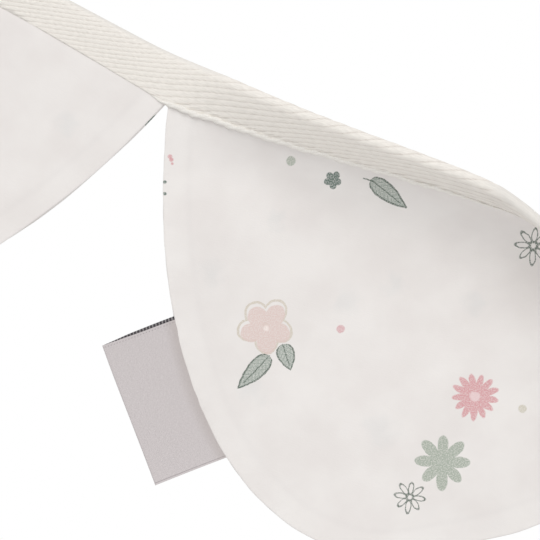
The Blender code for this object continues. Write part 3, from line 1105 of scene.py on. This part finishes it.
def printed_colour(maker, colour):
    """Lays the print's inks over the cloth's colour."""
    place = maker.attribute("print")
    spot = maker.stray(in_repeat(maker, place), 0.5, 1.0, 0.55)
    grain = maker.fade(maker.noise(place, 2.4), 0.38, 0.58, 0.5, 1.0)

    def ink(mask, tone, strength=0.95):
        nonlocal colour
        colour = maker.tint(colour, tone, maker.times(mask, grain), strength)

    shifted = maker.vector("SUBTRACT", spot, (*BLUSH_SHIFT, 0.0))
    edge, _ = petal_edge(maker, shifted, BLUSH_FLOWER, *BLUSH_OUTLINE)
    ink(drawn(maker, edge, 0.36), BLUSH_LINE)
    edge, reach = petal_edge(maker, spot, BLUSH_FLOWER, *BLUSH_PETALS)
    ink(maker.math("MAXIMUM", filled(maker, edge), maker.fade(reach, *BLUSH_FILLED)), BLUSH)
    ink(maker.fade(reach, *BLUSH_LIT), BLUSH_HEART, 0.8)
    for row in LEAVES:
        inside, lines = leaf(maker, spot, *row)
        ink(inside, LEAF, 0.85)
        ink(lines, LINE, 1.0)
    for row in STEMS:
        ink(stem(maker, spot, *row), LINE, 1.0)
    for *petals, heart, tone in FLOWERS:
        edge, reach = petal_edge(maker, spot, *petals)
        edge = maker.math("MINIMUM", edge, maker.math("SUBTRACT", reach, heart))
        ink(filled(maker, edge), tone)
        if tone == ROSE:
            ink(maker.fade(reach, *ROSE_LIT), ROSE_HEART)
    for petals in DRAWN_FLOWERS:
        edge, _ = petal_edge(maker, spot, *petals)
        ink(drawn(maker, edge, 0.16), LINE, 1.0)
    for centre, radius, tone in DOTS:
        reach = maker.vector("DISTANCE", spot, (*centre, 0.0))
        ink(maker.fade(reach, radius + DOT_EDGE, radius - DOT_EDGE), tone)
    return colour


def cotton(name, with_print):
    """Plain-woven white cotton over its seam allowance, with painted shade along the allowance's inner edge,
    with or without the print.
    """
    maker = Maker(name)
    place = maker.attribute("cloth")
    edge = maker.attribute("inside", "Fac")
    colour = maker.mix(maker.fade(maker.noise(place, 0.045), 0.3, 0.7), *COTTON_CLOUDS)
    doubled = maker.fade(edge, ALLOWANCE + 0.8, ALLOWANCE - 2.5)
    colour = maker.tint(colour, COTTON_DOUBLED, doubled, 0.1)
    # painted shade in a faint line where the seam allowance's raised band ends
    ridge = maker.fade(maker.away(edge, ALLOWANCE + 0.3), 1.8, 0.1)
    colour = maker.tint(colour, COTTON_PAINTED_SHADE, ridge, 0.06)
    spot = maker.stray(in_repeat(maker, maker.attribute("print")), 0.16, 2.0, 11.0)
    for centre, radius in GHOSTS:
        reach = maker.vector("DISTANCE", spot, (*centre, 0.0))
        colour = maker.tint(colour, GHOST, maker.fade(reach, radius * 1.4, radius * 0.2), 0.14)
    if with_print:
        colour = printed_colour(maker, colour)
    x, y, _ = maker.parts(place)
    weave = maker.times(maker.wave(x, WEAVE_PITCH), maker.wave(y, WEAVE_PITCH))
    slubs = maker.noise(maker.vector("MULTIPLY", place, (0.35, 1.6, 1.0)), 1.4)
    maker.bump(maker.math("ADD", maker.times(weave, 0.25), slubs), 0.05, 0.6)
    return maker.finish(colour, 0.9, 0.12)


def twill(name):
    """Cotton twill: yarn segments on each rib, painted shade between ribs and greyer on the worn fold."""
    maker = Maker(name)
    along, across, _ = maker.parts(maker.attribute("weave"))
    worn = maker.attribute("worn", "Fac")
    share = maker.attribute("share", "Fac")
    phase = maker.math("WRAP", maker.math("DIVIDE", across, YARN_PITCH), 0.5, -0.5)
    # painted shade between the ribs, broken into dots along the yarn and left off the worn fold
    valley_painted_shade = maker.fade(maker.math("ABSOLUTE", phase), 0.34, 0.5)
    stitch = maker.fade(maker.wave(along, TWILL_STITCH), -0.7, 0.7, 0.3, 1.0)
    mottled = maker.noise(maker.together(maker.times(along, 0.9), maker.times(across, 1.7)), 1.0)
    colour = maker.mix(maker.fade(mottled, 0.3, 0.7), *TWILL_CLOUDS)
    dark = maker.times(maker.times(valley_painted_shade, maker.math("SUBTRACT", 1.0, worn)), stitch)
    dark = maker.times(dark, maker.fade(mottled, 0.25, 0.6, 0.95, 0.4))
    colour = maker.mix(dark, colour, TWILL_VALLEY_PAINTED_SHADE)
    colour = maker.tint(colour, TWILL_WORN, worn, 0.5)
    holes = maker.fade(maker.wave(across, YARN_PITCH / 2), 0.3, 0.9)
    holes = maker.times(holes, maker.fade(maker.away(share, HOLES_AT), 0.025, 0.01))
    colour = maker.tint(colour, TWILL_HOLE, holes, 0.35)
    turns = [maker.times(run, 2 * math.pi / length) for run, length in zip((along, across), TWILL_YARN)]
    yarn = maker.math("SINE", maker.math("ADD", *turns))
    maker.bump(maker.math("ADD", maker.times(yarn, 0.35), mottled), 0.12, 0.7)
    return maker.finish(colour, 0.92, 0.15)


def cord(name):
    """The twisted edge of the tape, with painted shade between its strands."""
    maker = Maker(name)
    place, turn, down = maker.parts(maker.attribute("strand"))
    # painted shade where the two strands meet, strongest between them
    groove_painted_shade = maker.math("ABSOLUTE", maker.math("COSINE", turn))
    fuzz = maker.noise(maker.together(place, down), 2.2)
    colour = maker.mix(maker.fade(fuzz, 0.3, 0.7), *CORD_CLOUDS)
    colour = maker.tint(colour, CORD_GROOVE_PAINTED_SHADE, maker.fade(groove_painted_shade, 0.4, 0.0), 0.3)
    maker.bump(fuzz, 0.12, 0.6)
    return maker.finish(colour, 0.92, 0.15)


def satin(name, colour, line):
    """Woven satin with fine weft lines. The face has lines along its two sides and a painted shadow beside
    the flag, the reverse none.
    """
    maker = Maker(name)
    place, away, _ = maker.parts(maker.attribute("weave"))
    spread = maker.together(maker.times(place, 2.2), maker.times(away, 0.9))
    tones = [linear(*(part + change for part in colour)) for change in (-LABEL_UNEVEN, LABEL_UNEVEN)]
    shade = maker.mix(maker.fade(maker.noise(spread, 1.3), 0.25, 0.75), *tones)
    if line:
        line = linear(*line)
        near = maker.away(place, LABEL_LENGTH - LINE_INSET)
        shade = maker.tint(shade, line, maker.fade(near, 0.2, 0.08), 0.6)
        near = maker.away(place, LINE_INSET)
        dots = maker.fade(maker.wave(away, DOT_PITCH), -0.2, 0.6)
        shade = maker.tint(shade, line, maker.times(dots, maker.fade(near, 0.24, 0.1)), 0.5)
        # painted shadow beside the flag: darker within about 4 mm of the seam
        shade = maker.mix(maker.fade(away, 4.2, -0.5, 0.0, 0.4), shade, LABEL_PAINTED_SHADOW)
    else:
        flecks = maker.fade(maker.wave(away, FLECK_PITCH), 0.2, 0.9, 0.0, 0.55)
        shade = maker.mix(flecks, shade, LABEL_FLECK)
    weft = maker.times(maker.wave(place, WEFT_PITCH), 0.6)
    maker.bump(maker.math("ADD", maker.wave(away, THREAD_PITCH), weft), 0.04, 0.5)
    return maker.finish(shade, 0.55, 0.1, specular=0.35)


# Camera: face on, as in the photograph
PHOTO_WIDTH = 183.6  # what the photograph's 540 pixels span at the cloth
PHOTO_RIGHT, PHOTO_DOWN = 35.0, 56.4  # its centre from the point where the first two flags meet
LENS, SENSOR = 200.0, 36.0


def build_camera():
    x, z = line_point(TAPE_TAIL + PITCH)
    distance = PHOTO_WIDTH * LENS / SENSOR
    data = bpy.data.cameras.new("camera")
    data.lens = LENS
    data.sensor_width = SENSOR
    camera = add_object("camera", data)
    camera.location = Vector((x + PHOTO_RIGHT, -distance, z - PHOTO_DOWN)) * MM
    camera.rotation_euler = (math.pi / 2, 0, 0)
    bpy.context.scene.camera = camera


# Floor and light
FLOOR_BELOW = 500.0
FLOOR_HALF = 6.0  # metres
FLOOR_CORNERS = ((-1, -1), (1, -1), (1, 1), (-1, 1))
FLOOR_GREY = 0.8
SUNS = (
    # name, power, softness_deg, elevation_deg, azimuth_deg (0 is from the front, 90 from the right)
    ("key", 1.5, 50, 44, -4),
    ("back", 1.0, 60, 35, 200),
)
SKY = 0.55  # what the surroundings give as light
BACKGROUND = 1.0  # and as the camera sees them


def build_light():
    for name, power, softness, elevation, azimuth in SUNS:
        data = bpy.data.lights.new(name, "SUN")
        data.energy = power
        data.angle = math.radians(softness)
        sun = add_object(name, data)
        sun.rotation_euler = (math.radians(90 - elevation), 0, math.radians(azimuth))
    world = bpy.data.worlds.new("studio")
    bpy.context.scene.world = world
    world.use_nodes = True
    tree = world.node_tree
    background = tree.nodes["Background"]
    background.inputs["Color"].default_value = (1, 1, 1, 1)
    path = tree.nodes.new("ShaderNodeLightPath")
    strength = tree.nodes.new("ShaderNodeMapRange")
    strength.inputs["To Min"].default_value = SKY
    strength.inputs["To Max"].default_value = BACKGROUND
    tree.links.new(path.outputs["Is Camera Ray"], strength.inputs["Value"])
    tree.links.new(strength.outputs[0], background.inputs["Strength"])


def build_floor():
    mesh = bpy.data.meshes.new("floor")
    low = CAD_BOX[0].z - FLOOR_BELOW * MM
    middle = (CAD_BOX[0].x + CAD_BOX[1].x) / 2
    corners = [(middle + x * FLOOR_HALF, y * FLOOR_HALF, low) for x, y in FLOOR_CORNERS]
    mesh.from_pydata(corners, [], [(0, 1, 2, 3)])
    floor = add_object("floor", mesh)
    finish = bpy.data.materials.new("floor_paint")
    finish.use_nodes = True
    paint = finish.node_tree.nodes["Principled BSDF"].inputs
    paint["Base Color"].default_value = (FLOOR_GREY, FLOOR_GREY, FLOOR_GREY, 1)
    paint["Roughness"].default_value = 0.9
    mesh.materials.append(finish)


def build():
    build_camera()
    build_light()
    build_floor()
    plain, printed = cotton("cotton_plain", False), cotton("cotton_printed", True)
    tape = build_tape(twill("twill"))
    corded = cord("corded_edge")
    ropes = [build_rope(-1, corded), build_rope(1, corded)]
    for flag in range(len(FLAGS)):
        build_flag(flag, plain, printed)
    face, reverse = satin("label_face", LABEL_FACE, LABEL_LINE), satin("label_reverse", LABEL_REVERSE, None)
    label = build_label(face, reverse)
    bpy.context.scene.view_settings.view_transform = "Standard"


build()
